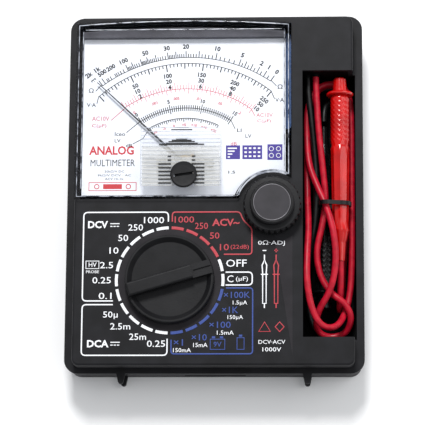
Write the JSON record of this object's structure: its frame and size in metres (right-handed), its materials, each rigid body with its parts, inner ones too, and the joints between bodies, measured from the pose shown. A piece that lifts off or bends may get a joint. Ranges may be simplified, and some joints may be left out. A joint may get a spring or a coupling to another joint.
{
  "type": "analog multimeter",
  "caption": "Pocket analog multimeter with a moving-pointer meter, a rotary range knob, a zero-ohm knob and an open bay holding its tied test leads.",
  "frame": {"origin": "middle of the case outline on the back face, which rests on the table", "axes": "+Z out of the front face, +Y towards the top edge of the case, +X towards the lead bay"},
  "size_m": [0.129, 0.1634, 0.0367],
  "materials": {
    "case_black": "fine moulded texture",
    "knob_black": "satin moulded",
    "window_clear": "clear moulded",
    "dial_white": "white print on sheet",
    "pointer_black": "black lacquer",
    "steel": "plain",
    "iron": "sintered",
    "aluminium": "plain",
    "brass": "plain",
    "copper_winding": "enamelled wire",
    "board_brown": "phenolic laminate",
    "component_tan": "lacquered",
    "glass_clear": "clear",
    "inner_plastic": "moulded",
    "cell_wrap": "printed sleeve",
    "red_pvc": "soft satin",
    "black_pvc": "soft satin",
    "red_probe_plastic": "glossy",
    "black_probe_plastic": "glossy",
    "tie_black": "plastic-coated strip"
  },
  "bodies": {
    "case": {"front_case": "case_black", "rear_case": "case_black", "lead_bay": "case_black", "case_screws": "steel", "meter_window": "window_clear", "scale_plate": "dial_white", "movement_frame": "inner_plastic", "movement_magnet": "iron", "movement_core": "steel", "upper_bridge": "aluminium", "switch_tracks": "brass", "detent_ring": "inner_plastic", "zero_ohm_pot": "inner_plastic", "circuit_board": "board_brown", "board_screws": "steel", "fuse_glass": "glass_clear", "fuse_caps": "steel", "fuse_clips": "brass", "resistors": "component_tan", "trimmers": "component_tan", "buzzer": "inner_plastic", "aa_cell_lower": "cell_wrap", "aa_cell_upper": "cell_wrap", "battery_contacts": "steel", "battery_walls": "inner_plastic", "nine_volt_battery": "cell_wrap", "nine_volt_snap": "inner_plastic", "red_lead_gland": "red_pvc", "black_lead_gland": "black_pvc", "lead_tie": "tie_black", "red_lead": "red_pvc", "black_lead": "black_pvc", "red_probe_handle": "red_probe_plastic", "red_probe_collar": "red_probe_plastic", "red_probe_sleeve": "red_probe_plastic", "red_probe_needle": "steel", "red_probe_relief": "red_pvc", "black_probe_handle": "black_probe_plastic", "black_probe_collar": "black_probe_plastic", "black_probe_sleeve": "black_probe_plastic", "black_probe_needle": "steel", "black_probe_relief": "black_pvc"},
    "movement": {"pointer": "pointer_black", "moving_coil": "copper_winding", "coil_staff": "steel", "balance_weights": "brass", "hairspring": "brass"},
    "range_switch": {"range_knob": "knob_black", "switch_rotor": "inner_plastic", "switch_brushes": "brass", "detent_ball": "steel"},
    "zero_ohm": {"zero_ohm_knob": "knob_black"},
    "corrector": {"zero_corrector": "knob_black"},
    "battery_door": {"battery_cover": "case_black"}
  },
  "joints": [
    {"name": "pointer_swing", "type": "hinge", "parent": "case", "child": "movement", "pos_m": [-0.0129, 0.0119, 0.0235], "axis": [0, 0, 1], "range_deg": [-93.4, 0], "stiffness_Nm_per_rad": 0.00001},
    {"name": "range_select", "type": "hinge", "parent": "case", "child": "range_switch", "pos_m": [-0.0188, -0.0404, 0.027], "axis": [0, 0, 1], "continuous": true},
    {"name": "zero_ohm_turn", "type": "hinge", "parent": "case", "child": "zero_ohm", "pos_m": [0.0252, -0.0084, 0.027], "axis": [0, 0, 1], "range_deg": [-135, 135]},
    {"name": "zero_corrector_turn", "type": "hinge", "parent": "case", "child": "corrector", "pos_m": [-0.0131, 0.0055, 0.0295], "axis": [0, 0, 1], "range_deg": [-25, 25]},
    {"name": "battery_door_release", "type": "slide", "parent": "case", "child": "battery_door", "axis": [0, 0, -1], "range_m": [0, 0.012]}
  ]
}
